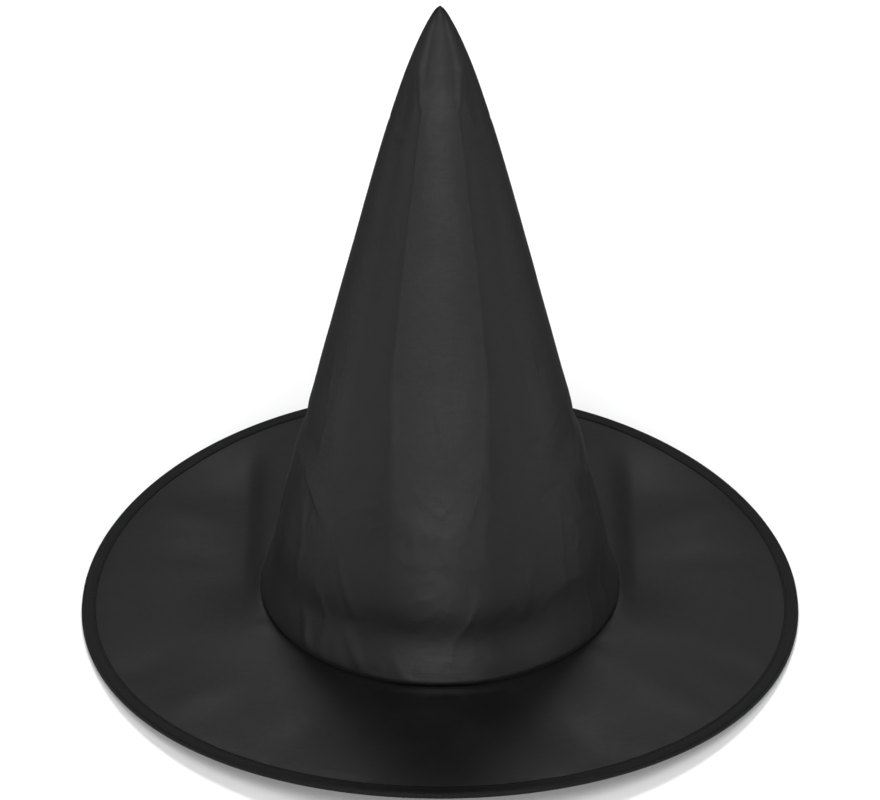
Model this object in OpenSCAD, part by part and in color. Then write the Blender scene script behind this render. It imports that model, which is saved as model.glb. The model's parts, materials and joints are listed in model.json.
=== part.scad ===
/* [Brim] */
// Outer diameter of the brim, over its binding
brim_d = 380; // [350:5:400]
// Height of the front edge above the side edges
front_rise = 12.8; // [8:0.2:16]
// Height of the back edge above the side edges
back_rise = 8.4; // [6:0.2:12]
// Height of the crown join above the hoop at the sides
join_rise = 11.8; // [10:0.2:16]
// Width of the binding seen on each face of the brim
binding_w = 7.4; // [6:0.2:9]
// Diameter of the springy plastic hoop inside the binding
hoop_d = 2; // [1.6:0.1:2]

/* [Crown] */
// Height of the tip above the surface that the hat stands on
hat_h = 361; // [330:1:380]
// Diameter of the crown where it joins the brim
crown_d = 191; // [189:0.5:196]
// How far the rounded shoulder near the tip widens the cone
shoulder = 10.5; // [8:0.5:12]
// Length below the tip over which that shoulder builds up
shoulder_len = 28; // [24:1:34]
// How far the crown draws in just above the join
neck = 3.5; // [2:0.1:3.5]
// Top of the still part of the crown, where its fold starts
fold_z = 100; // [96:1:106]
// Bottom of the middle ring, where the fold ends
middle_z = 190; // [184:1:194]
// Top of the middle ring, where the bend of the tip starts
bend_z = 215; // [212:1:220]
// Bottom of the still part of the tip, where the bend ends
tip_z = 285; // [280:1:290]

/* [Cloth] */
// Thickness of the woven outer cloth
cloth_t = 0.4; // [0.3:0.05:0.4]
// Thickness of the non-woven interlining
lining_t = 0.6; // [0.4:0.05:0.6]
// Thickness of the binding tape
binding_t = 0.45; // [0.35:0.05:0.45]
// Clearance between neighbouring layers
gap = 0.1; // [0.05:0.05:0.1]
// Depth of the sewn allowance inside the back seam
allowance = 6; // [4:0.5:7]

/* [Head band] */
// Inside radius of the head band
band_r = 88.4; // [87:0.1:88.4]
// Thickness of the head band
band_t = 0.7; // [0.5:0.05:0.7]
// Height of the head band
band_h = 18; // [14:1:19]

/* [Care label] */
// Width of the folded label, from the seam inwards
label_w = 21; // [16:1:22]
// Height of the label
label_h = 26; // [20:1:28]
// Height of the label's lower end
label_z = 36; // [35:1:40]

/* [Hidden] */

ring_n = 72;                               // straight steps round the brim
side_n = 8;                                // sides of the hoop's section
sleeve_steps = 2;                          // steps of the ring that the hoop's sleeve covers
sleeve_d = hoop_d + 0.5;
nose_r = sleeve_d / 2 + gap / 2 + 0.5;     // half the thickness of the bound edge
hoop_r = brim_d / 2 - nose_r;              // radius of the hoop's centre line
stack = 2 * cloth_t + lining_t + 2 * gap;  // thickness of the brim's three layers
cloth_r = hoop_r - nose_r + 0.1;           // outer edge of the three layers
join_r = crown_d / 2;
join_z = nose_r + join_rise;               // top of the brim at the join
collar_r = 90.5;                           // outside of the brim's turned-up allowance
collar_h = 8;
collar_top = join_z + collar_h;
under_collar_r = collar_r - cloth_t - gap;
stitch_d = 0.35;                           // thickness of a sewing thread
stitch_in = 1.2;                           // from the binding's inner edge to its stitches
neck_z = join_z + 9.7;
neck_h = 9;
zone_gap = 0.15;                           // half the gap between neighbouring zones
crown_in = cloth_t + gap;                  // from the outside of the crown to its interlining
crown_all = crown_in + lining_t;           // whole thickness of the crown
tip_cut = 7;                               // the interlining stops this far below the tip
band_top = join_z - stack + band_h;
seam_z = band_top + 1;                     // bottom of the back seam's standing allowance
$fn = 96;

// Height of the middle of the bound edge: lowest at the sides, raised in front and behind
function edge_z(a) = nose_r + (sin(a) < 0 ? front_rise : back_rise) * pow(sin(a), 2);

// Height of the middle of the brim at angle a and radius r
function brim_z(a, r) =
    let (inner_z = join_z - stack / 2, t = max(0, (r - join_r) / (hoop_r - join_r)))
    inner_z + t * (edge_z(a) - inner_z);

function neck_at(z) = neck * exp(-pow((z - neck_z) / neck_h, 2));
crown_slope = (join_r - shoulder + neck_at(join_z)) / (hat_h - join_z);

// Outside radius of the crown at height z
function crown_r(z) =
    let (down = hat_h - z)
    crown_slope * down + shoulder * (1 - exp(-down / shoulder_len)) - neck_at(z);

// Heights from z0 to z1, a step apart or a little less
function levels(z0, z1, step) =
    let (n = ceil((z1 - z0) / step))
    [for (k = [0 : n]) z0 + (z1 - z0) * k / n];

// Closed outline, in radius and height, of a layer between two depths inside the crown
function layer_outline(heights, outer, inner) = concat(
    [for (z = heights) [crown_r(z) - outer, z]],
    [for (k = [len(heights) - 1 : -1 : 0]) [crown_r(heights[k]) - inner, heights[k]]]);

// A closed outline that follows the brim all the way round: section(a) lists its points
module brim_sweep(section, first = 0, steps = ring_n) {
    closed = steps == ring_n;
    ring_count = closed ? steps : steps + 1;
    rings = [for (k = [0 : ring_count - 1])
        let (a = 360 * (first + k) / ring_n)
        [for (p = section(a)) [p[0] * cos(a), p[0] * sin(a), p[1]]]];
    outline = section(0);
    n = len(outline);
    // Upper and lower faces are split along the same diagonals, so that neighbouring layers stay parallel
    sides = [for (k = [0 : steps - 1], i = [0 : n - 1])
        let (j = (i + 1) % n, next = (k + 1) % ring_count,
            here = [k * n + i, k * n + j], there = [next * n + i, next * n + j])
        each outline[i][0] > outline[j][0]
            ? [[here[0], there[0], there[1]], [here[0], there[1], here[1]]]
            : [[here[0], there[0], here[1]], [there[0], there[1], here[1]]]];
    ends = closed ? [] : [[for (i = [0 : n - 1]) i],
        [for (i = [n - 1 : -1 : 0]) steps * n + i]];
    polyhedron(points = [for (ring = rings) each ring], faces = concat(sides, ends));
}

module brim_top_cloth() {
    section = function(a)
        let (top = brim_z(a, cloth_r) + stack / 2, t = cloth_t)
        [[cloth_r, top - t], [join_r, join_z - t], [collar_r - t, join_z - t],
            [collar_r - t, collar_top], [collar_r, collar_top], [collar_r, join_z],
            [join_r, join_z], [cloth_r, top]];
    color("#232325") brim_sweep(section);
}

module brim_interlining() {
    inner_r = collar_r + 1.5;
    half = lining_t / 2;
    section = function(a)
        let (mid = brim_z(a, cloth_r), inner_mid = join_z - stack / 2)
        [[cloth_r, mid - half], [join_r, inner_mid - half], [inner_r, inner_mid - half],
            [inner_r, inner_mid + half], [join_r, inner_mid + half], [cloth_r, mid + half]];
    color("#3a3a3c") brim_sweep(section);
}

module brim_under_cloth() {
    section = function(a)
        let (low = brim_z(a, cloth_r) - stack / 2, low_in = join_z - stack, t = cloth_t,
            r = under_collar_r)
        [[cloth_r, low], [join_r, low_in], [r - t, low_in], [r - t, collar_top],
            [r, collar_top], [r, low_in + t], [join_r, low_in + t], [cloth_r, low + t]];
    color("#1f1f21") brim_sweep(section);
}

// Points of a circle round the hoop's centre line, from angle b0 to b1
function hoop_arc(a, r, b0, b1, n) =
    [for (k = [0 : n]) let (b = b0 + (b1 - b0) * k / n) [hoop_r + r * cos(b), edge_z(a) + r * sin(b)]];

module brim_hoop() {
    step = 360 / side_n;
    section = function(a) hoop_arc(a, hoop_d / 2, 0, 360 - step, side_n - 1);
    color("#e8e6df") brim_sweep(section);
}

// A rolled sleeve over the hoop's two ends, with its butt joint underneath
module hoop_sleeve() {
    first = ring_n / 4 - sleeve_steps / 2;
    bore_r = hoop_d / 2 + 0.05;
    joint = 8;
    section = function(a) concat(hoop_arc(a, sleeve_d / 2, joint - 90, 270 - joint, side_n),
        hoop_arc(a, bore_r, 270 - joint, joint - 90, side_n));
    color("#b8b8ba") brim_sweep(section, first, sleeve_steps);
}

// The tape folded round the hoop, with a leg on each face of the brim
module edge_binding() {
    edge_r = brim_d / 2 - binding_w;
    near_r = hoop_r - nose_r;
    inside = stack / 2 + 0.05;
    outside = inside + binding_t;
    hollow_r = nose_r - binding_t;
    section = function(a)
        let (in_z = brim_z(a, edge_r), out_z = brim_z(a, near_r))
        concat([[edge_r, in_z - outside], [near_r, out_z - outside]],
            hoop_arc(a, nose_r, -90, 90, 6),
            [[near_r, out_z + outside], [edge_r, in_z + outside],
                [edge_r, in_z + inside], [near_r, out_z + inside]],
            hoop_arc(a, hollow_r, 90, -90, 4),
            [[near_r, out_z - inside], [edge_r, in_z - inside]]);
    color("#161618") brim_sweep(section);
}

// One row of thread along the binding's leg: side is 1 on top and -1 underneath
module binding_stitch(side) {
    r = brim_d / 2 - binding_w + stitch_in;
    rise = side * (stack / 2 + 0.05 + binding_t + 0.03 + stitch_d / 2);
    half = stitch_d / 2;
    section = function(a)
        let (z = brim_z(a, r) + rise)
        [[r + half, z - half], [r - half, z - half], [r - half, z + half], [r + half, z + half]];
    color("#0e0e10") brim_sweep(section);
}
module binding_stitch_top() { binding_stitch(1); }
module binding_stitch_under() { binding_stitch(-1); }

module thread_ring(r, z) { rotate_extrude() translate([r, z]) circle(d = stitch_d, $fn = 16); }
module join_stitch() {
    color("#0e0e10") thread_ring(collar_r + 1, join_z + stitch_d);
}
module head_band_stitch() {
    color("#0e0e10") thread_ring(band_r + band_t / 2, band_top - band_h - stitch_d);
}

module head_band() {
    color("#2a2a2d") translate([0, 0, band_top - band_h]) difference() {
        cylinder(h = band_h, r = band_r + band_t);
        translate([0, 0, -1]) cylinder(h = band_h + 2, r = band_r);
    }
}

// A fin on the inside of the back, between two depths and over some heights
module back_fin(heights, outer, inner, thick, shift = 0) {
    depth = function(z) min(inner, 0.6 * crown_r(z));
    outline = concat([for (z = heights) [crown_r(z) - outer, z]],
        [for (k = [len(heights) - 1 : -1 : 0])
            let (z = heights[k]) [crown_r(z) - max(outer + 0.1, depth(z)), z]]);
    translate([shift - thick / 2, 0, 0]) rotate([90, 0, 90])
        linear_extrude(thick) polygon(outline);
}

module crown_cloth(z0, z1, step) {
    zs = levels(z0, z1, step);
    color("#29292b") union() {
        rotate_extrude() polygon(layer_outline(zs, 0, cloth_t));
        back_fin(levels(max(z0, seam_z), z1, step / 2), cloth_t / 2, cloth_t + allowance,
            2 * cloth_t);
    }
}
module crown_cloth_lower() { crown_cloth(join_z + gap, fold_z - zone_gap, 12); }
module crown_cloth_fold() { crown_cloth(fold_z + zone_gap, middle_z - zone_gap, 30); }
module crown_cloth_middle() { crown_cloth(middle_z + zone_gap, bend_z - zone_gap, 13); }
module crown_cloth_bend() { crown_cloth(bend_z + zone_gap, tip_z - zone_gap, 18); }

// The tip is closed: its inside ends in a point a little below the outside's
module crown_cloth_tip() {
    low = tip_z + zone_gap;
    inner_top = hat_h - 2 * cloth_t;
    outer = levels(low, hat_h - 1.5, 9);
    inner = levels(low, inner_top - 1.5, 9);
    color("#29292b") union() {
        rotate_extrude() polygon(concat([for (z = outer) [crown_r(z), z]], [[0, hat_h], [0, inner_top]],
            [for (k = [len(inner) - 1 : -1 : 0]) [crown_r(inner[k]) - cloth_t, inner[k]]]));
        back_fin(levels(low, hat_h - 2 * tip_cut, 9), cloth_t / 2, cloth_t + allowance,
            2 * cloth_t);
    }
}

// The interlining's two edges meet the back seam, so it is open there for the allowance
module crown_interlining(z0, z1, step) {
    slit = 2 * cloth_t + 2 * gap;
    color("#48484a") difference() {
        rotate_extrude() polygon(layer_outline(levels(z0, z1, step), crown_in, crown_all));
        translate([-slit / 2, 0, z0 - 1]) cube([slit, crown_d, z1 - z0 + 2]);
    }
}
module crown_interlining_lower() { crown_interlining(join_z + 2 * gap, fold_z - zone_gap, 12); }
module crown_interlining_fold() { crown_interlining(fold_z + zone_gap, middle_z - zone_gap, 30); }
module crown_interlining_middle() { crown_interlining(middle_z + zone_gap, bend_z - zone_gap, 13); }
module crown_interlining_bend() { crown_interlining(bend_z + zone_gap, tip_z - zone_gap, 18); }
module crown_interlining_tip() { crown_interlining(tip_z + zone_gap, hat_h - tip_cut, 9); }

// Needle and bobbin thread, one on each face of the standing allowance
module seam_thread(z0, z1, step) {
    near = crown_all + 0.4;
    for (side = [-1, 1])
        color("#0e0e10") back_fin(levels(z0, z1, step), near, near + stitch_d, stitch_d,
            side * (cloth_t + 0.03 + stitch_d / 2));
}
module seam_thread_lower() { seam_thread(seam_z, fold_z - zone_gap, 12); }
module seam_thread_fold() { seam_thread(fold_z + zone_gap, middle_z - zone_gap, 30); }
module seam_thread_middle() { seam_thread(middle_z + zone_gap, bend_z - zone_gap, 13); }
module seam_thread_bend() { seam_thread(bend_z + zone_gap, tip_z - zone_gap, 18); }
module seam_thread_tip() { seam_thread(tip_z + zone_gap, hat_h - 2 * tip_cut, 9); }

// The label hangs from the inner edge of the allowance and points towards the middle
module care_label() {
    edge_y = function(z) crown_r(z) - cloth_t - allowance - 0.6;
    lean = atan((edge_y(label_z + label_h) - edge_y(label_z)) / label_h);
    thick = 0.5;
    color("#d9d8d4") translate([-thick / 2, edge_y(label_z), label_z]) rotate([-lean, 0, 0])
        translate([0, -label_w, 0]) cube([thick, label_w, label_h]);
}

brim_top_cloth();
brim_interlining();
brim_under_cloth();
brim_hoop();
hoop_sleeve();
edge_binding();
binding_stitch_top();
binding_stitch_under();
join_stitch();
head_band();
head_band_stitch();
crown_cloth_lower();
crown_cloth_fold();
crown_cloth_middle();
crown_cloth_bend();
crown_cloth_tip();
crown_interlining_lower();
crown_interlining_fold();
crown_interlining_middle();
crown_interlining_bend();
crown_interlining_tip();
seam_thread_lower();
seam_thread_fold();
seam_thread_middle();
seam_thread_bend();
seam_thread_tip();
care_label();
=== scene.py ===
"""A black cloth witch hat: a stiffened cone sewn to a wide brim whose bound edge holds a springy hoop."""

import json
import math

import bpy
import numpy as np
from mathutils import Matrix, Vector


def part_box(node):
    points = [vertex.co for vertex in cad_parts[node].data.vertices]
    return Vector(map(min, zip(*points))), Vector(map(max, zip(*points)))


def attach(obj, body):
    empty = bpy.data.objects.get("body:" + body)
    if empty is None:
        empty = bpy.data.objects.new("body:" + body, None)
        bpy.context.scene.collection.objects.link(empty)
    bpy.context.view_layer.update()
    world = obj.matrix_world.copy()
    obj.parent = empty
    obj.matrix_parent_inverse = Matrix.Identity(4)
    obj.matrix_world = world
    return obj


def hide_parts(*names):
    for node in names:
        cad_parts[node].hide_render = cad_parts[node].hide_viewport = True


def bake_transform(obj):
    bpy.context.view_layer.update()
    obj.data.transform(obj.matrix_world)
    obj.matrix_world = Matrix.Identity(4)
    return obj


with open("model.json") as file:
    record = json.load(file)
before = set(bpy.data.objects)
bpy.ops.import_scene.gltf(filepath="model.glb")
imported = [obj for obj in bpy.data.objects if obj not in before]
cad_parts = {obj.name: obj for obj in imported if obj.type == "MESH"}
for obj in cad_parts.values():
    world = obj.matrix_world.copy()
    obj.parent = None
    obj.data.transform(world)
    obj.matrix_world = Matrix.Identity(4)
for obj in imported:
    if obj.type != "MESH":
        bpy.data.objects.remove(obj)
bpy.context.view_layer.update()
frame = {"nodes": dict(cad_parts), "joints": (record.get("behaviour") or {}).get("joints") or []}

MM = 0.001

# The CAD's own driving sizes, in metres.
HAT_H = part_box("crown_cloth_tip")[1].z
BRIM_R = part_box("edge_binding")[1].x
JOIN_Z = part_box("crown_cloth_lower")[0].z - 0.1 * MM
JOIN_R = 95.5 * MM
NOSE_R = 1.8 * MM
FRONT_RISE = 12.8 * MM
BACK_RISE = 8.4 * MM
BINDING_W = 7.4 * MM
SHOULDER = 10.5 * MM
SHOULDER_LEN = 28 * MM
MIDDLE_Z = 190 * MM
BEND_Z = 215 * MM
CLOTH_T = 0.4 * MM
LINING_T = 0.6 * MM
BINDING_T = 0.45 * MM
GAP = 0.1 * MM
STACK = 2 * CLOTH_T + LINING_T + 2 * GAP
HOOP_R = BRIM_R - NOSE_R
ALLOWANCE = 6 * MM
COLLAR_R = 90.5 * MM
COLLAR_TOP = JOIN_Z + 8 * MM

# The visual model's own sizes: where the crown draws in most and over what height, where the back seam's
# allowance starts, where the crown's two pieces meet, and the slope that its flat cut is worked out with.
NECK_Z = JOIN_Z + 22 * MM
NECK_H = 13 * MM
SEAM_Z = JOIN_Z + 17.4 * MM
SPLIT_Z = (MIDDLE_Z + BEND_Z) / 2
CONE_SLOPE = 0.25

LOWER, MIDDLE, TIP = "brim_and_crown", "crown_middle", "crown_tip"


# ---------------------------------------------------------------- camera, lights, floor

# The area lights: place and target, width and height in metres, power in watts, and beam angle in degrees.
LIGHTS = [
    ("front_panel", (0, -3.2, 0.9), (0, 0, 0.7), (2.0, 2.2), 78, 180),
    ("left_panel", (-2.2, -1.2, 0.6), (0, 0, 0.15), (1.2, 1.0), 12.5, 180),
    ("right_panel", (2.2, -1.2, 0.6), (0, 0, 0.15), (1.2, 1.0), 12.5, 180),
    ("top_softbox", (0, -1.3, 2.2), (0, 0, 0), (1.4, 1.8), 13, 120),
    ("back_softbox", (0, 1.05, 1.9), (0, 0, 0), (0.42, 0.42), 23, 180),
]
# Strength of the room's white light, and half the floor's width in metres.
ROOM_LIGHT = 0.26
FLOOR_HALF = 6

def make_camera():
    """The view of the photograph: from the front, about 33 degrees above the horizon, with a long lens."""
    distance = 2.8
    elevation = math.radians(32.9)
    aim = Vector((0, 0, 0.1284))
    data = bpy.data.cameras.new("camera")
    data.lens = 221
    data.sensor_width = 36
    data.clip_end = 100
    camera = bpy.data.objects.new("camera", data)
    bpy.context.scene.collection.objects.link(camera)
    back = Vector((0, -math.cos(elevation), math.sin(elevation)))
    camera.location = aim + distance * back
    camera.rotation_euler = (-back).to_track_quat("-Z", "Y").to_euler()
    bpy.context.scene.camera = camera


def area_light(name, place, target, size, power, spread):
    data = bpy.data.lights.new(name, "AREA")
    data.shape = "RECTANGLE"
    data.size, data.size_y = size
    data.energy = power
    data.spread = math.radians(spread)
    light = bpy.data.objects.new(name, data)
    bpy.context.scene.collection.objects.link(light)
    light.location = place
    light.rotation_euler = (Vector(target) - Vector(place)).to_track_quat("-Z", "Y").to_euler()


def make_studio():
    """A white floor in a dim white room. A large panel lights the hat from the front and a low one from each
    side, with a soft box above the front and a small one high at the back."""
    bpy.context.scene.view_settings.view_transform = "Standard"
    world = bpy.data.worlds.new("studio")
    bpy.context.scene.world = world
    world.use_nodes = True
    world.node_tree.nodes["Background"].inputs["Color"].default_value = (1, 1, 1, 1)
    world.node_tree.nodes["Background"].inputs["Strength"].default_value = ROOM_LIGHT
    for light in LIGHTS:
        area_light(*light)
    mesh = bpy.data.meshes.new("floor")
    corners = [(x * FLOOR_HALF, y * FLOOR_HALF, 0) for x, y in ((-1, -1), (1, -1), (1, 1), (-1, 1))]
    mesh.from_pydata(corners, [], [(0, 1, 2, 3)])
    floor = bpy.data.objects.new("floor", mesh)
    bpy.context.scene.collection.objects.link(floor)
    material = bpy.data.materials.new("floor_paper")
    material.use_nodes = True
    shader = material.node_tree.nodes["Principled BSDF"]
    shader.inputs["Base Color"].default_value = (0.9, 0.9, 0.9, 1)
    shader.inputs["Roughness"].default_value = 0.9
    mesh.materials.append(material)


# ---------------------------------------------------------------- materials

class Shader:
    """A material with one Principled shader, and short ways to add the nodes that feed it."""

    def __init__(self, name, roughness, **constants):
        self.material = bpy.data.materials.new(name)
        self.material.use_nodes = True
        self.tree = self.material.node_tree
        self.bsdf = self.tree.nodes["Principled BSDF"]
        self.bsdf.inputs["Roughness"].default_value = roughness
        for socket, value in constants.items():
            self.bsdf.inputs[socket.replace("_", " ")].default_value = value
        self.uv = self.tree.nodes.new("ShaderNodeTexCoord").outputs["UV"]
        self.place = self.tree.nodes.new("ShaderNodeTexCoord").outputs["Object"]

    def link(self, value, socket):
        if isinstance(value, (int, float)):
            socket.default_value = value
        else:
            self.tree.links.new(value, socket)

    def math(self, operation, a, b=0.0, c=0.0):
        node = self.tree.nodes.new("ShaderNodeMath")
        node.operation = operation
        for socket, value in zip(node.inputs, (a, b, c)):
            self.link(value, socket)
        return node.outputs[0]

    def split(self, vector):
        node = self.tree.nodes.new("ShaderNodeSeparateXYZ")
        self.link(vector, node.inputs[0])
        return node.outputs[0], node.outputs[1]

    def noise(self, vector, scale, stretch=(1, 1, 1), detail=3.0, rough=0.5):
        mapping = self.tree.nodes.new("ShaderNodeMapping")
        mapping.inputs["Scale"].default_value = stretch
        self.link(vector, mapping.inputs["Vector"])
        node = self.tree.nodes.new("ShaderNodeTexNoise")
        self.link(mapping.outputs[0], node.inputs["Vector"])
        node.inputs["Scale"].default_value = scale
        node.inputs["Detail"].default_value = detail
        node.inputs["Roughness"].default_value = rough
        return node.outputs["Fac"]

    def between(self, value, low, high, out_low, out_high):
        node = self.tree.nodes.new("ShaderNodeMapRange")
        self.link(value, node.inputs["Value"])
        ends = {"From Min": low, "From Max": high, "To Min": out_low, "To Max": out_high}
        for name, number in ends.items():
            node.inputs[name].default_value = number
        return node.outputs["Result"]

    def ramp(self, value, dark, light):
        """A colour from dark to light as value goes from 0 to 1."""
        node = self.tree.nodes.new("ShaderNodeMix")
        node.data_type = "RGBA"
        self.link(value, node.inputs["Factor"])
        node.inputs["A"].default_value = (*dark, 1)
        node.inputs["B"].default_value = (*light, 1)
        return node.outputs["Result"]

    def facing(self, value, low, high):
        """A gloss that goes from value, seen face on, to fully rough at a grazing angle."""
        weight = self.tree.nodes.new("ShaderNodeLayerWeight").outputs["Facing"]
        share = self.between(weight, low, high, 0, 1)
        return self.math("MULTIPLY_ADD", share, self.math("SUBTRACT", 1, value), value)

    def waves(self, along, pitch):
        """A ripple from -1 to 1 along one coordinate, one wave for each pitch."""
        return self.math("SINE", self.math("MULTIPLY", along, 2 * math.pi / pitch))

    def finish(self, colour=None, roughness=None, height=None, depth=0.1 * MM, strength=1.0):
        if colour is not None:
            self.link(colour, self.bsdf.inputs["Base Color"])
        if roughness is not None:
            self.link(roughness, self.bsdf.inputs["Roughness"])
        if height is not None:
            bump = self.tree.nodes.new("ShaderNodeBump")
            bump.inputs["Strength"].default_value = strength
            bump.inputs["Distance"].default_value = depth
            self.link(height, bump.inputs["Height"])
            self.link(bump.outputs[0], self.bsdf.inputs["Normal"])
        return self.material


def nylon():
    """Glossy black plain-weave nylon: fine yarns, slubs along both, faint streaks, crinkle and clouding."""
    s = Shader("black_nylon", 0.45, Specular_IOR_Level=0.2)
    u, v = s.split(s.uv)
    weave = s.math("MULTIPLY", s.waves(u, 0.5 * MM), s.waves(v, 0.5 * MM))
    warp = s.noise(s.uv, 1, (1700, 160, 1), 2)
    weft = s.noise(s.uv, 1, (160, 1700, 1), 2)
    threads = s.math("ADD", warp, weft)
    crinkle = s.noise(s.uv, 160, (1, 1, 1), 4, 0.55)
    height = s.math("MULTIPLY_ADD", threads, 0.5, s.math("MULTIPLY", weave, 0.3))
    height = s.math("MULTIPLY_ADD", crinkle, 1.6, height)
    streaks = s.noise(s.uv, 1, (120, 800, 1), 3)
    height = s.math("MULTIPLY_ADD", streaks, 0.7, height)
    cloud = s.noise(s.uv, 28, (1, 1, 1), 3)
    shade = s.between(s.math("MULTIPLY_ADD", cloud, 0.5, s.math("MULTIPLY", threads, 0.25)), 0.3, 0.7, 0, 1)
    colour = s.ramp(shade, (0.003, 0.003, 0.0034), (0.007, 0.007, 0.0075))
    uneven = s.math("MULTIPLY_ADD", s.noise(s.uv, 380, (1, 1, 1), 2), 0.5, s.math("MULTIPLY", streaks, 0.5))
    uneven = s.math("MULTIPLY_ADD", cloud, 0.5, s.math("MULTIPLY", uneven, 0.5))
    gloss = s.facing(s.between(uneven, 0.38, 0.62, 0.36, 0.52), 0.35, 0.75)
    return s.finish(colour, gloss, height, 0.06 * MM, 0.8)


def non_woven():
    """Matt black interlining: short fibres pressed into a felt."""
    s = Shader("interlining", 0.9, Sheen_Weight=0.3)
    fibres = s.noise(s.uv, 1, (900, 300, 1), 4, 0.7)
    clumps = s.noise(s.uv, 220, (1, 1, 1), 4, 0.7)
    colour = s.ramp(clumps, (0.012, 0.012, 0.013), (0.05, 0.05, 0.052))
    return s.finish(colour, None, s.math("ADD", fibres, clumps), 0.25 * MM, 1.0)


def tape(name, rib, dark, light, roughness):
    """Woven tape: a rib across it every rib metres, with the yarns' own unevenness."""
    s = Shader(name, roughness, Specular_IOR_Level=0.1)
    u, v = s.split(s.uv)
    ribs = s.waves(u, rib)
    weave = s.math("MULTIPLY", ribs, s.waves(v, 0.45 * MM))
    fuzz = s.noise(s.uv, 900, (1, 1, 1), 3, 0.6)
    height = s.math("ADD", s.math("MULTIPLY", ribs, 0.5), s.math("MULTIPLY_ADD", weave, 0.25, fuzz))
    colour = s.ramp(s.between(fuzz, 0.3, 0.7, 0, 1), dark, light)
    return s.finish(colour, s.facing(roughness, 0.5, 0.8), height, 0.09 * MM, 0.9)


def thread():
    """Twisted sewing thread."""
    s = Shader("sewing_thread", 0.6, Specular_IOR_Level=0.15)
    u, v = s.split(s.uv)
    twist = s.waves(s.math("ADD", u, v), 0.45 * MM)
    colour = s.ramp(s.between(twist, -1, 1, 0, 1), (0.004, 0.004, 0.0045), (0.009, 0.009, 0.0095))
    return s.finish(colour, None, twist, 0.05 * MM, 1.0)


def ribbon():
    """Blank white satin ribbon for the care label."""
    s = Shader("label_satin", 0.35, Sheen_Weight=0.2)
    floats = s.noise(s.uv, 1, (2500, 150, 1), 3)
    colour = s.ramp(floats, (0.6, 0.59, 0.57), (0.78, 0.77, 0.75))
    return s.finish(colour, s.between(floats, 0.3, 0.7, 0.3, 0.42), floats, 0.05 * MM, 0.6)


def rod_plastic():
    """Pale plastic, slightly mottled."""
    s = Shader("hoop_plastic", 0.45)
    mottle = s.noise(s.place, 400, (1, 1, 1), 3)
    colour = s.ramp(mottle, (0.62, 0.6, 0.53), (0.72, 0.7, 0.64))
    return s.finish(colour, s.between(mottle, 0, 1, 0.35, 0.55))


def rolled_metal():
    """Bare metal with fine scratches along it."""
    s = Shader("sleeve_metal", 0.4, Metallic=1.0)
    scratches = s.noise(s.place, 1, (200, 6000, 6000), 3)
    colour = s.ramp(scratches, (0.42, 0.42, 0.43), (0.66, 0.66, 0.67))
    return s.finish(colour, s.between(scratches, 0.2, 0.8, 0.3, 0.5), scratches, 0.02 * MM, 0.5)


# ---------------------------------------------------------------- mesh helpers

def value_noise(u, v, seed, wrap=64):
    """Smooth noise from -1 to 1 over unit cells. It repeats every wrap cells along u."""
    table = np.random.default_rng(seed).uniform(-1, 1, (256, wrap))
    iu, iv = np.floor(u).astype(int), np.floor(v).astype(int)
    fu, fv = u - iu, v - iv
    su, sv = (f ** 3 * (f * (6 * f - 15) + 10) for f in (fu, fv))
    corner = lambda a, b: table[(iv + b) % 256, (iu + a) % wrap]
    low = corner(0, 0) * (1 - su) + corner(1, 0) * su
    high = corner(0, 1) * (1 - su) + corner(1, 1) * su
    return low * (1 - sv) + high * sv


def smooth_step(x, low, high):
    t = np.clip((x - low) / (high - low), 0, 1)
    return t * t * (3 - 2 * t)


def bell(x, centre, width):
    return np.exp(-((x - centre) / width) ** 2)


def normals_of(points, wrap):
    """Unit normals of a grid of points, rows by columns. With wrap, its last column meets its first."""
    if wrap:
        across = np.roll(points, -1, 1) - np.roll(points, 1, 1)
    else:
        across = np.gradient(points, axis=1)
    normal = np.cross(across, np.gradient(points, axis=0))
    return normal / np.maximum(np.linalg.norm(normal, axis=2, keepdims=True), 1e-12)


def shell(name, face, back, uv, material, wrap=False, normals=None):
    """A thin closed sheet between two grids of points, rows by columns. With wrap, the grid is a ring."""
    rows, cols = face.shape[:2]
    front = np.arange(rows * cols).reshape(rows, cols)
    rear = front + rows * cols

    def quads(a, b, c, d):
        return np.stack([x.ravel() for x in (a, b, c, d)], 1)

    def grid_faces(index):
        if wrap:
            index = np.concatenate([index, index[:, :1]], 1)
        return quads(index[:-1, :-1], index[:-1, 1:], index[1:, 1:], index[1:, :-1])

    def rim(a, b):
        return quads(a[:-1], b[:-1], b[1:], a[1:])

    ring = lambda line: np.append(line, line[0]) if wrap else line
    faces = [grid_faces(front), grid_faces(rear)[:, ::-1],
             rim(ring(front[0]), ring(rear[0])), rim(ring(rear[-1]), ring(front[-1]))]
    if not wrap:
        faces += [rim(rear[:, 0], front[:, 0]), rim(front[:, -1], rear[:, -1])]
    faces = np.concatenate(faces)
    points = np.concatenate([face.reshape(-1, 3), back.reshape(-1, 3)])
    if normals is not None:
        normals = np.concatenate([normals.reshape(-1, 3), -normals.reshape(-1, 3)])
    return make_piece(name, points, faces, material, np.tile(uv.reshape(-1, 2), (2, 1)), normals)


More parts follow.
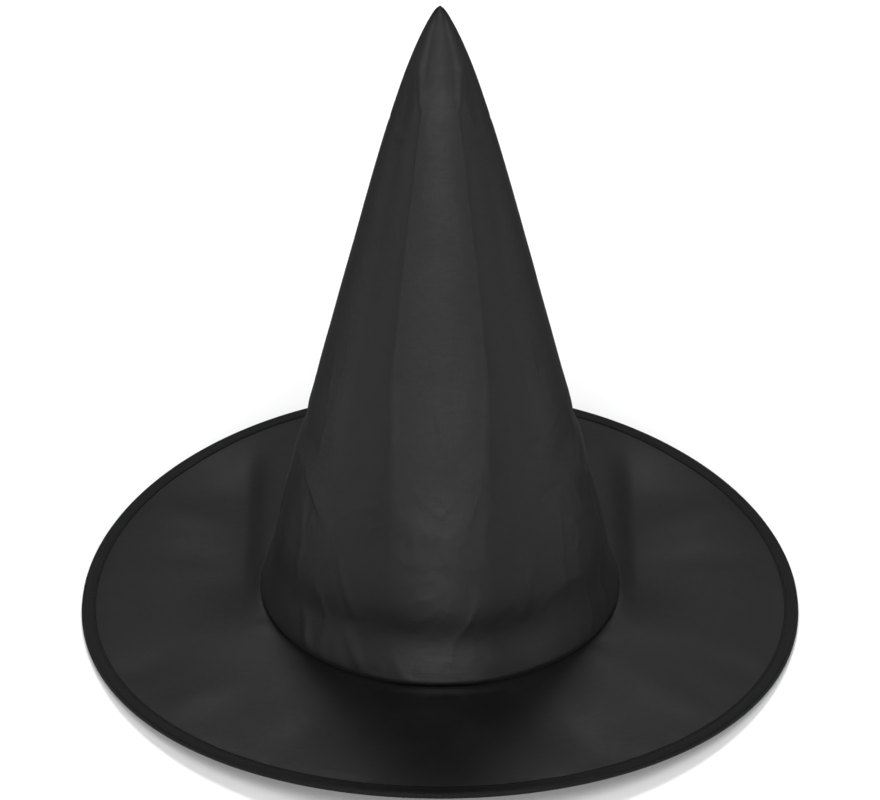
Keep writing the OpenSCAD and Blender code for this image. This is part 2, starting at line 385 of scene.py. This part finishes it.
def make_piece(name, points, faces, material, uv=None, normals=None):
    mesh = bpy.data.meshes.new(name)
    mesh.from_pydata(points.tolist(), [], faces.tolist())
    mesh.polygons.foreach_set("use_smooth", np.ones(len(mesh.polygons), bool))
    if uv is not None:
        corners = np.zeros(len(mesh.loops), np.int32)
        mesh.loops.foreach_get("vertex_index", corners)
        layer = mesh.uv_layers.new(name="UVMap")
        layer.data.foreach_set("uv", uv[corners].astype(np.float32).ravel())
    mesh.materials.append(material)
    if normals is not None:
        mesh.normals_split_custom_set_from_vertices(normals.tolist())
    piece = bpy.data.objects.new(name, mesh)
    bpy.context.scene.collection.objects.link(piece)
    return piece


# ---------------------------------------------------------------- the crown

def crown_radius(z, angle=0.0):
    """The cone's outside radius at height z. It draws in above the join, most at the front."""
    depth = (1.6 + 1.0 * np.maximum(np.cos(angle), 0) ** 2) * MM
    neck = lambda h: depth * np.exp(-((h - NECK_Z) / NECK_H) ** 2)
    slope = (JOIN_R - SHOULDER + neck(JOIN_Z)) / (HAT_H - JOIN_Z)
    down = HAT_H - z
    # The point is a little blunt.
    blunt = 1.3 * MM * (1 - np.exp(-down / (1.5 * MM))) * np.exp(-down / (25 * MM))
    return slope * down + SHOULDER * (1 - np.exp(-down / SHOULDER_LEN)) + blunt - neck(z)


# Creases in the crown: the angle from the front in degrees and the height in mm of each end, then the
# crease's width and how far it stands out, in mm.
CREASES = [
    ((-88, 108), (-70, 102), 1.2, 0.5), ((-72, 108), (-52, 86), 1.2, 0.55), ((-84, 100), (-88, 56), 1.6, 0.7),
    ((-86, 62), (-78, 42), 1.8, 0.6), ((-58, 96), (-60, 60), 1.6, 0.3), ((-44, 84), (-38, 68), 1.5, 0.3),
    ((86, 116), (74, 102), 1.2, 0.5), ((76, 104), (78, 84), 1.2, 0.5), ((72, 102), (88, 84), 1.3, 0.45),
    ((88, 86), (85, 52), 1.6, 0.7), ((64, 74), (58, 62), 1.5, 0.3),
    ((-58, 186), (-57, 158), 1.2, 0.35), ((58, 186), (57, 156), 1.2, 0.35),
    ((-70, 176), (-64, 140), 1.5, 0.25),
    ((-41, 74), (-30, 42), 2.4, 0.5), ((-52, 34), (-47, 17), 2.6, 0.8), ((-33, 36), (-26, 17), 3.2, 0.8),
    ((54, 100), (47, 36), 3.0, 0.45), ((38, 108), (31, 46), 3.0, 0.4),
    ((-4, 164), (4, 134), 1.5, 0.2), ((12, 128), (27, 104), 1.5, 0.25), ((-12, 104), (-30, 92), 1.5, 0.2),
    ((-8, 112), (8, 98), 2.0, 0.12), ((8, 112), (-8, 98), 2.0, 0.12),
]

# Shallow hollows in the crown: angle and height of the middle, half-widths in mm round and up, then depth.
HOLLOWS = [(-16, 48, 20, 20, 0.7), (12, 62, 12, 12, 0.5), (44, 66, 15, 34, 1.0), (-62, 78, 10, 22, 0.6),
           (66, 118, 10, 16, 0.5), (-72, 118, 9, 15, 0.5), (24, 36, 12, 12, 0.4), (-46, 58, 10, 18, 0.5)]


def crease_relief(angle, z, radius):
    """Narrow ridges along the creases, each fading out at its ends, and wide shallow hollows."""
    relief = np.zeros_like(z)
    for (a0, z0), (a1, z1), width, height in CREASES:
        du, dv = math.radians(a1 - a0) * radius, (z1 - z0) * MM
        pu, pv = (angle - math.radians(a0)) * radius, z - z0 * MM
        along = (pu * du + pv * dv) / (du ** 2 + dv ** 2)
        off = (pu * dv - pv * du) / np.sqrt(du ** 2 + dv ** 2)
        fade = smooth_step(along, -0.1, 0.3) * (1 - smooth_step(along, 0.7, 1.1))
        relief += height * MM * fade * bell(off, 0, width * MM)
    for degrees, level, wide, tall, depth in HOLLOWS:
        off = (angle - math.radians(degrees)) * radius
        relief -= depth * MM * bell(off, 0, wide * MM) * bell(z, level * MM, tall * MM)
    return relief


def front_panel(angle, z, radius):
    """The flattened front, left by folding the hat flat. It gets wider and flatter towards the tip."""
    widening = 0.12 * smooth_step(z, 310 * MM, 316 * MM) + 0.28 * smooth_step(z, 313 * MM, 333 * MM)
    half = np.minimum(25.6 * MM, (0.45 + widening) * radius)
    near = np.maximum(np.cos(angle), 0.2)
    chord = np.minimum(np.sqrt(radius ** 2 - half ** 2) / near - radius, 0)
    low = 1 - smooth_step(z, 90 * MM, 240 * MM)
    high = smooth_step(z, 308 * MM, 320 * MM)
    soft = 1.5 * MM + 5 * MM * low + 2.5 * MM * high
    soft = np.minimum(soft, 0.25 * radius)
    inside = 1 - smooth_step(np.abs(radius * np.sin(angle)), half - soft, half + soft)
    length = smooth_step(z, 50 * MM, 150 * MM) * (1 - smooth_step(z, 352 * MM, 360 * MM))
    flatness = 0.5 + 0.2 * smooth_step(z, 305 * MM, 335 * MM)
    return flatness * chord * inside * length * (np.cos(angle) > 0)


def crown_relief(angle, z):
    """How far the cloth lies outside the plain cone: front panel, creases, crinkles, gathers and a groove."""
    radius = crown_radius(z)
    turns = angle / (2 * math.pi)
    sides = smooth_step(np.abs(np.sin(angle)), 0.55, 0.95)
    low = 1 - smooth_step(z, 100 * MM, 190 * MM)
    warp = 0.6 * value_noise(turns * 14, z / (30 * MM), 3, 14)
    ridge = 1 - np.abs(value_noise(turns * 22 + warp, z / (30 * MM) + warp, 5, 22))
    fine = 1 - np.abs(value_noise(turns * 56 + 2 * warp, z / (12 * MM) + warp, 8, 56))
    relief = low * (0.35 + 0.3 * sides) * MM * (ridge ** 3 - 0.4) + low * 0.14 * MM * (fine ** 4 - 0.3)
    relief += 0.22 * MM * value_noise(turns * 9, z / (45 * MM), 12, 9)
    relief += 0.05 * MM * value_noise(turns * 40, z / (16 * MM), 14, 40)
    relief += sides * 0.7 * MM * (bell(z, 100 * MM, 9 * MM) - bell(z, 116 * MM, 7 * MM))
    relief += crease_relief(angle, z, radius)
    deepest = -0.3 * MM - smooth_step(z, 34 * MM, 60 * MM) * 2 * MM
    relief = (relief + deepest + np.hypot(relief - deepest, 0.3 * MM)) / 2
    gathers = value_noise(turns * 56, z / (60 * MM), 21, 56)
    relief += 0.25 * MM * gathers * bell(z, JOIN_Z, 12 * MM)
    relief *= smooth_step(HAT_H - z, 4 * MM, 60 * MM) * smooth_step(z, JOIN_Z, JOIN_Z + 5 * MM)
    groove = 0.3 * MM * bell(z, 295 * MM, 1.6 * MM) * smooth_step(np.abs(np.sin(angle)), 0.45, 0.65)
    return relief + front_panel(angle, z, radius) - groove


def crown_grid(low, high, rows, cols, inset, fin):
    """Points of one layer of the crown, and its flat-cut coordinates. Columns run from one edge of the panel
    at the back seam, round the front, to the other edge; with fin, both edges turn inwards."""
    z = np.linspace(low, high, rows)[:, None] * np.ones((1, cols))
    edge = 0.06 * MM if fin else CLOTH_T + GAP
    reach = math.pi - edge / np.maximum(crown_radius(z) - inset, 4 * edge)
    angle = np.linspace(-1, 1, cols)[None, :] * reach
    radius = crown_radius(z, angle) + crown_relief(angle, z) - inset
    to_seam = (math.pi - np.abs(angle)) * radius
    radius -= np.minimum(1.1 * MM, 0.25 * radius) * bell(to_seam, 0, 1.4 * MM)
    turn_in = smooth_step(JOIN_Z + 1.6 * MM - z, 0, 1.6 * MM)
    radius -= 1.2 * MM * turn_in ** 2
    radius = np.maximum(radius, 0)
    points = np.stack([radius * np.sin(angle), -radius * np.cos(angle), z], 2)
    slope = math.sin(math.atan(CONE_SLOPE))
    slant = (HAT_H - z) / math.cos(math.atan(CONE_SLOPE))
    uv = np.stack([slant * np.sin(angle * slope), -slant * np.cos(angle * slope)], 2)
    if fin:
        deep = np.clip(np.minimum(ALLOWANCE, 0.6 * radius[:, :1] - CLOTH_T), 0, None)
        deep *= smooth_step(z[:, :1], SEAM_Z - 2 * MM, SEAM_Z + 3 * MM)
        share = np.linspace(1, 0, 5)[:-1][None, :]
        for side in (0, -1):
            base, base_uv = points[:, side:][:, :1], uv[:, side:][:, :1]
            leaf = base + np.stack([0 * deep * share, -deep * share, 0 * deep * share], 2)
            leaf_uv = base_uv + np.stack([(1 if side else -1) * deep * share, 0 * deep * share], 2)
            if side:
                leaf, leaf_uv = leaf[:, ::-1], leaf_uv[:, ::-1]
                points, uv = np.concatenate([points, leaf], 1), np.concatenate([uv, leaf_uv], 1)
            else:
                points, uv = np.concatenate([leaf, points], 1), np.concatenate([leaf_uv, uv], 1)
    return points, uv


def crown_layer(name, rows, cols, inset, thick, top, material, fin, nodes):
    """One layer of the crown as two pieces that meet at the middle ring."""
    low = JOIN_Z + (0.1 if fin else 0.3) * MM
    split_row = round((SPLIT_Z - low) / (top - low) * (rows - 1))
    face, uv = crown_grid(low, top, rows, cols, inset, fin)
    normals = normals_of(face, False)
    back = face - thick * normals
    halves = (("lower", slice(0, split_row + 1), nodes[0]), ("upper", slice(split_row, rows), nodes[1]))
    pieces = []
    for part, keep, replaced in halves:
        piece = shell(f"{name}_{part}", face[keep], back[keep], uv[keep], material, False, normals[keep])
        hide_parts(*replaced)
        pieces.append(piece)
    return pieces


def blend_crown(lower, upper):
    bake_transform(lower)
    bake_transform(upper)


def make_crown(cloth, felt, sewing):
    lower, upper = crown_layer(
        "crown_shell", 216, 360, 0, CLOTH_T, HAT_H - 0.15 * MM, cloth, True,
        (("crown_cloth_lower", "crown_cloth_fold"),
         ("crown_cloth_middle", "crown_cloth_bend", "crown_cloth_tip")))
    blend_crown(lower, upper)
    lower, upper = crown_layer(
        "crown_lining", 120, 180, CLOTH_T + GAP, LINING_T, HAT_H - 7 * MM, felt, False,
        (("crown_interlining_lower", "crown_interlining_fold"),
         ("crown_interlining_middle", "crown_interlining_bend", "crown_interlining_tip")))
    blend_crown(lower, upper)
    make_seam_thread(sewing)


# ---------------------------------------------------------------- the brim

def edge_height(angle):
    """Height of the middle of the bound edge. Angle is measured from the front, towards +X."""
    forward = np.cos(angle)
    return NOSE_R + np.where(forward > 0, FRONT_RISE, BACK_RISE) * forward ** 2


# Soft waves in the brim: angle from the front in degrees, distance from the middle in mm, and height in mm.
WAVES = [(-118, 158, 0.9), (-104, 140, -0.7), (-66, 172, -0.8), (-52, 160, 0.9), (-28, 156, -0.9),
         (-16, 168, 0.7), (118, 158, 0.8), (103, 140, -0.7), (66, 172, -0.7), (51, 160, 0.8),
         (27, 156, -0.9), (17, 168, 0.6),
         (150, 150, 0.8), (-152, 150, 0.7), (178, 160, -0.7)]


def brim_relief(angle, radius):
    """How far the brim lies above its plain shape: soft waves, a long fold at each side, a roll in front."""
    share = np.clip((radius - JOIN_R) / (BRIM_R - BINDING_W - JOIN_R), 0, 1)
    relief = np.zeros_like(radius)
    for degrees, reach, height in WAVES:
        off = (np.mod(angle - math.radians(degrees) + math.pi, 2 * math.pi) - math.pi) * radius
        relief += 0.7 * height * MM * bell(off, 0, 12 * MM) * bell(radius, reach * MM, 26 * MM)
    turns = angle / (2 * math.pi)
    relief += 0.35 * MM * value_noise(turns * 22, radius / (60 * MM), 31, 22)
    inner = value_noise(turns * 70, radius / (30 * MM), 33, 70) * bell(radius, JOIN_R, 10 * MM)
    aside, behind = np.abs(radius * np.sin(angle)), -radius * np.cos(angle)
    length = smooth_step(behind, -45 * MM, 15 * MM) * (1 - smooth_step(behind, 90 * MM, 150 * MM))
    fold = 105 * MM
    folds = -4.6 * MM * bell(aside, fold, np.where(aside < fold, 8 * MM, 28 * MM)) * length
    ahead = bell(np.sin(angle), 0, 0.3) * (np.cos(angle) > 0)
    roll = 2.6 * MM * bell(radius, JOIN_R + 2.8 * MM, 3.4 * MM) * ahead
    outer = value_noise(turns * 150, radius / (30 * MM), 34, 150) * bell(radius, BRIM_R - BINDING_W, 5 * MM)
    held = smooth_step(share, 0, 0.12) * (1 - smooth_step(share, 0.93, 1.0))
    free = 0.25 * MM * inner + 0.12 * MM * outer + folds + roll
    return relief * held + free * smooth_step(share, 0, 0.03)


def brim_height(angle, radius):
    """Height of the middle of the brim's layers: flat inside the join, then straight out to the hoop."""
    inner = JOIN_Z - STACK / 2
    share = np.maximum(0, (radius - JOIN_R) / (HOOP_R - JOIN_R))
    return inner + share * (edge_height(angle) - inner) + brim_relief(angle, radius)


def ring_points(angle, radius, z):
    return np.stack([radius * np.sin(angle), -radius * np.cos(angle), z], 2)


def make_brim_layer(name, rise, thick, collar, material, upside, rows=44, cols=360):
    """One layer of the brim: out from the join, and where there is a collar, also up inside the crown."""
    angle = np.linspace(-math.pi, math.pi, cols, endpoint=False)[None, :]
    outer = HOOP_R - NOSE_R + 0.1 * MM
    radii = np.concatenate([np.linspace(0, 1, 4)[:-1] * (JOIN_R - COLLAR_R) + COLLAR_R,
                            JOIN_R + (outer - JOIN_R) * np.linspace(0, 1, rows) ** 1.15])[:, None]
    angle, radii = np.broadcast_arrays(angle, radii)
    z = brim_height(angle, radii) + rise
    groove = 0.5 * MM * bell(radii, JOIN_R, 1.2 * MM) if upside else 0
    points = ring_points(angle, radii, z - groove)
    if collar:
        tall = np.linspace(1, 0, 5)[:-1][:, None] * np.ones((1, cols))
        wall = ring_points(angle[:1] * np.ones((4, 1)), collar * np.ones((4, cols)),
                           z[0, 0] + (COLLAR_TOP - z[0, 0]) * tall)
        points = np.concatenate([wall, points], 0)
    else:
        points = points[1:]
    points = points[::-1] if upside else points
    normals = normals_of(points, True)
    uv = points[:, :, :2]
    return shell(name, points, points - thick * normals, uv, material, True)


def make_brim(cloth, felt):
    top = make_brim_layer("brim_top_cloth_sheet", STACK / 2, CLOTH_T, COLLAR_R, cloth, True)
    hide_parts("brim_top_cloth")
    under = make_brim_layer("brim_under_cloth_sheet", -STACK / 2, CLOTH_T, COLLAR_R - 1.0 * MM, cloth, False)
    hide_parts("brim_under_cloth")
    middle = make_brim_layer("brim_interlining_sheet", LINING_T / 2, LINING_T, None, felt, True, 24, 240)
    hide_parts("brim_interlining")
    for piece in (top, under, middle):
        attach(piece, LOWER)


# ---------------------------------------------------------------- binding, bands, stitches, label

STITCH = 3.2 * MM
BINDING_EDGE = BRIM_R - BINDING_W
STITCH_R = BINDING_EDGE + 1.2 * MM


def binding_section(inset):
    """The tape's path across the edge, in section: distance from the hat's middle, height from the brim's."""
    leg = STACK / 2 + 0.05 * MM + BINDING_T - inset
    nose = NOSE_R - inset
    near = HOOP_R - 1.4 * MM
    path = [(r, leg) for r in np.linspace(BINDING_EDGE, near, 6)]
    path += [(HOOP_R + nose * math.cos(b), nose * math.sin(b)) for b in np.linspace(1.75, -1.75, 11)]
    path += [(r, -leg) for r in np.linspace(near, BINDING_EDGE, 6)]
    return np.array(path)


def make_binding(material):
    cols = 1080
    angle = np.linspace(-math.pi, math.pi, cols, endpoint=False)[None, :]
    stitches = round(2 * math.pi * STITCH_R / STITCH)
    outside = binding_section(0)
    inside = binding_section(BINDING_T)
    lengths = np.concatenate([[0], np.cumsum(np.linalg.norm(np.diff(outside, axis=0), axis=1))])

    def surface(section, pucker):
        radius = section[:, :1] * np.ones((1, cols))
        rise = section[:, 1:] * np.ones((1, cols))
        share = np.clip((radius - BINDING_EDGE) / (HOOP_R - BINDING_EDGE), 0, 1)
        inner = brim_height(angle, np.full_like(radius, BINDING_EDGE))
        middle = inner * (1 - share) + edge_height(angle) * share
        dent = bell(radius, STITCH_R, 0.9 * MM) * (0.75 + 0.25 * np.cos(angle * stitches))
        flare = bell(radius, BINDING_EDGE, 0.5 * MM) * np.cos(angle * stitches + 1.5)
        rise = rise - np.sign(rise) * pucker * (0.28 * MM * dent - 0.06 * MM * flare)
        return ring_points(np.broadcast_to(angle, radius.shape), radius, middle + rise)

    face, back = surface(outside, 1), surface(inside, 0.9)
    uv = np.stack([(angle * BRIM_R) * np.ones((len(outside), 1)), lengths[:, None] * np.ones((1, cols))], 2)
    tape_piece = shell("edge_binding_tape", face[::-1], back[::-1], uv[::-1], material, True)
    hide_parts("edge_binding")
    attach(tape_piece, LOWER)


def stitch_row(name, starts, ends, normals, material, thick=0.35 * MM, sides=6, rings=5):
    """Separate stitches of thread, each a short bow from its start to its end that dips at both."""
    t = np.linspace(0, 1, rings)[None, :, None]
    along = ends - starts
    length = np.linalg.norm(along, axis=1)[:, None, None]
    direction = along[:, None, :] / length
    up = normals[:, None, :]
    out = np.cross(direction, up)
    middle = starts[:, None, :] + along[:, None, :] * t
    middle = middle + up * thick * (np.sin(math.pi * t) ** 0.6 - 0.75)
    radius = thick / 2 * (0.35 + 0.65 * np.sin(math.pi * np.clip(t, 0.03, 0.97)) ** 0.5)
    turn = np.linspace(0, 2 * math.pi, sides, endpoint=False)
    cosine, sine = (f(turn)[None, None, :, None] for f in (np.cos, np.sin))
    ring = up[:, :, None] * cosine + out[:, :, None] * sine
    points = middle[:, :, None] + radius[..., None] * ring
    count = len(starts)
    index = np.arange(count * rings * sides).reshape(count, rings, sides)
    nxt = np.roll(index, -1, 2)
    walls = np.stack([index[:, :-1], nxt[:, :-1], nxt[:, 1:], index[:, 1:]], -1).reshape(-1, 4)
    caps = [c[:, k] for c in (index[:, 0, ::-1], index[:, -1]) for k in ([0, 1, 2, 3], [0, 3, 4, 5])]
    faces = np.concatenate([walls, *caps])
    along_uv = np.broadcast_to((t * STITCH)[..., None], points.shape[:3] + (1,))
    round_uv = np.broadcast_to((turn / 6 * MM)[None, None, :, None], points.shape[:3] + (1,))
    uv = np.concatenate([along_uv, round_uv], 3).reshape(-1, 2)
    return make_piece(name, points.reshape(-1, 3), faces, material, uv)


def ring_stitches(name, radius, height, up, pitch, material, node, fill=0.8):
    """A row of stitches round the hat at one radius. height(angle) is its level, and up the way it faces."""
    count = round(2 * math.pi * radius / pitch)
    first = np.arange(count) * 2 * math.pi / count
    last = first + fill * 2 * math.pi / count
    at = lambda a: np.stack([radius * np.sin(a), -radius * np.cos(a), height(a)], 1)
    facing = np.tile(np.array(up, float), (count, 1))
    row = stitch_row(name, at(first), at(last), facing, material)
    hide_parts(node)
    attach(row, LOWER)


def make_stitches(sewing):
    leg = STACK / 2 + 0.05 * MM + BINDING_T

    def beside_leg(side):
        return lambda a: brim_height(a, np.full_like(a, STITCH_R)) + side * (leg - 0.1 * MM)

    ring_stitches("binding_stitches_top", STITCH_R, beside_leg(1), (0, 0, 1), STITCH, sewing,
                  "binding_stitch_top")
    ring_stitches("binding_stitches_under", STITCH_R, beside_leg(-1), (0, 0, -1), STITCH, sewing,
                  "binding_stitch_under")
    flat = lambda z: lambda a: np.full_like(a, z)
    ring_stitches("join_stitches", COLLAR_R + 1.2 * MM, flat(JOIN_Z + 0.35 * MM), (0, 0, 1), 3 * MM, sewing,
                  "join_stitch")
    band_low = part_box("head_band")[0].z
    ring_stitches("head_band_stitches", 88.8 * MM, flat(band_low - 0.25 * MM), (0, 0, -1), 4 * MM, sewing,
                  "head_band_stitch")


def make_seam_thread(sewing):
    """Needle and bobbin thread on the two faces of the back seam's allowance, up the whole crown."""
    top = HAT_H - 16 * MM
    depth = CLOTH_T + GAP + LINING_T + 1.2 * MM
    for part, low, high, nodes in (
            ("lower", SEAM_Z + 4 * MM, SPLIT_Z, ("seam_thread_lower", "seam_thread_fold")),
            ("upper", SPLIT_Z, top, ("seam_thread_middle", "seam_thread_bend", "seam_thread_tip"))):
        count = int((high - low) / (3 * MM))
        first = low + np.arange(count) * (high - low) / count
        last = first + 0.8 * (high - low) / count
        starts, ends, facing = [], [], []
        for side in (-1, 1):
            beside = side * (CLOTH_T + 0.15 * MM)
            at = lambda z: np.stack([np.full_like(z, beside), crown_radius(z) - depth, z], 1)
            starts.append(at(first))
            ends.append(at(last))
            facing.append(np.tile(np.array([side, 0.0, 0.0]), (count, 1)))
        row = stitch_row(f"seam_stitches_{part}", np.concatenate(starts), np.concatenate(ends),
                         np.concatenate(facing), sewing)
        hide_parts(*nodes)
        if part == "lower":
            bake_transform(row)
        else:
            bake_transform(row)


def make_head_band(material):
    """The inner tape, one closed ring that leans in a little towards its top edge."""
    low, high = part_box("head_band")
    cols, rows = 300, 12
    angle = np.linspace(-math.pi, math.pi, cols, endpoint=False)[None, :]
    share = np.linspace(0, 1, rows)[:, None]
    z = low.z + (high.z - low.z) * share
    wavy = 0.25 * MM * value_noise(angle / (2 * math.pi) * 30, share * 2, 41, 30)
    lean = 1.3 * MM
    radius = 88.6 * MM + (wavy - lean) * share
    z, radius, angle = np.broadcast_arrays(z, radius, angle)
    face = ring_points(angle, radius, z)[:, ::-1]
    thick = 0.5 * MM
    back = face + thick * face / np.linalg.norm(face[:, :, :2], axis=2, keepdims=True) * np.array([1, 1, 0])
    uv = np.stack([angle * 88 * MM, z], 2)[:, ::-1]
    band = shell("head_band_tape", face, back, uv, material, True)
    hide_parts("head_band")
    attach(band, LOWER)


def make_label(material):
    """A blank ribbon folded in half, its two ends caught in the seam and its fold pointing inwards."""
    pivot = next(j for j in frame["joints"] if j["name"] == "label_swing")
    root, axis = Vector(pivot["pos_m"]), Vector(pivot["axis"]).normalized()
    inward = Vector((0, -1, 0))
    inward = (inward - inward.dot(axis) * axis).normalized()
    across = axis.cross(inward)
    width, height, rows, cols = 21 * MM, 26 * MM, 14, 41
    path = np.linspace(-1, 1, cols)
    reach = width * np.sin(np.clip(1 - np.abs(path) ** 1.8, 0, 1) * math.pi / 2)
    bow = np.sin(path * math.pi / 2) * np.cos(path * math.pi / 2) ** 0.5
    spread = 0.9 * MM * bow + 0.12 * MM * np.sign(path)
    up = np.linspace(0, 1, rows)[:, None] * height
    curl = 0.6 * MM * np.sin(up / height * math.pi) * (reach / width)
    points = np.zeros((rows, cols, 3))
    for k in range(3):
        points[:, :, k] = root[k] + axis[k] * up + inward[k] * reach + across[k] * (spread + curl)
    normals = normals_of(points, False)
    uv = np.stack([(path * width) * np.ones((rows, 1)), up * np.ones((1, cols))], 2)
    label = shell("care_label_ribbon", points, points - 0.12 * MM * normals, uv, material)
    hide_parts("care_label")
    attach(label, "label")


def paint(node, material):
    """Give a CAD node that is kept its procedural material."""
    slots = frame["nodes"][node].data.materials
    slots.clear()
    slots.append(material)


make_camera()
make_studio()
cloth, felt, sewing = nylon(), non_woven(), thread()
make_crown(cloth, felt, sewing)
make_brim(cloth, felt)
make_binding(tape("binding_tape", 0.7 * MM, (0.003, 0.003, 0.0034), (0.006, 0.006, 0.0064), 0.5))
make_stitches(sewing)
make_head_band(tape("band_tape", 1.1 * MM, (0.01, 0.01, 0.011), (0.022, 0.022, 0.024), 0.65))
make_label(ribbon())
paint("brim_hoop", rod_plastic())
paint("hoop_sleeve", rolled_metal())
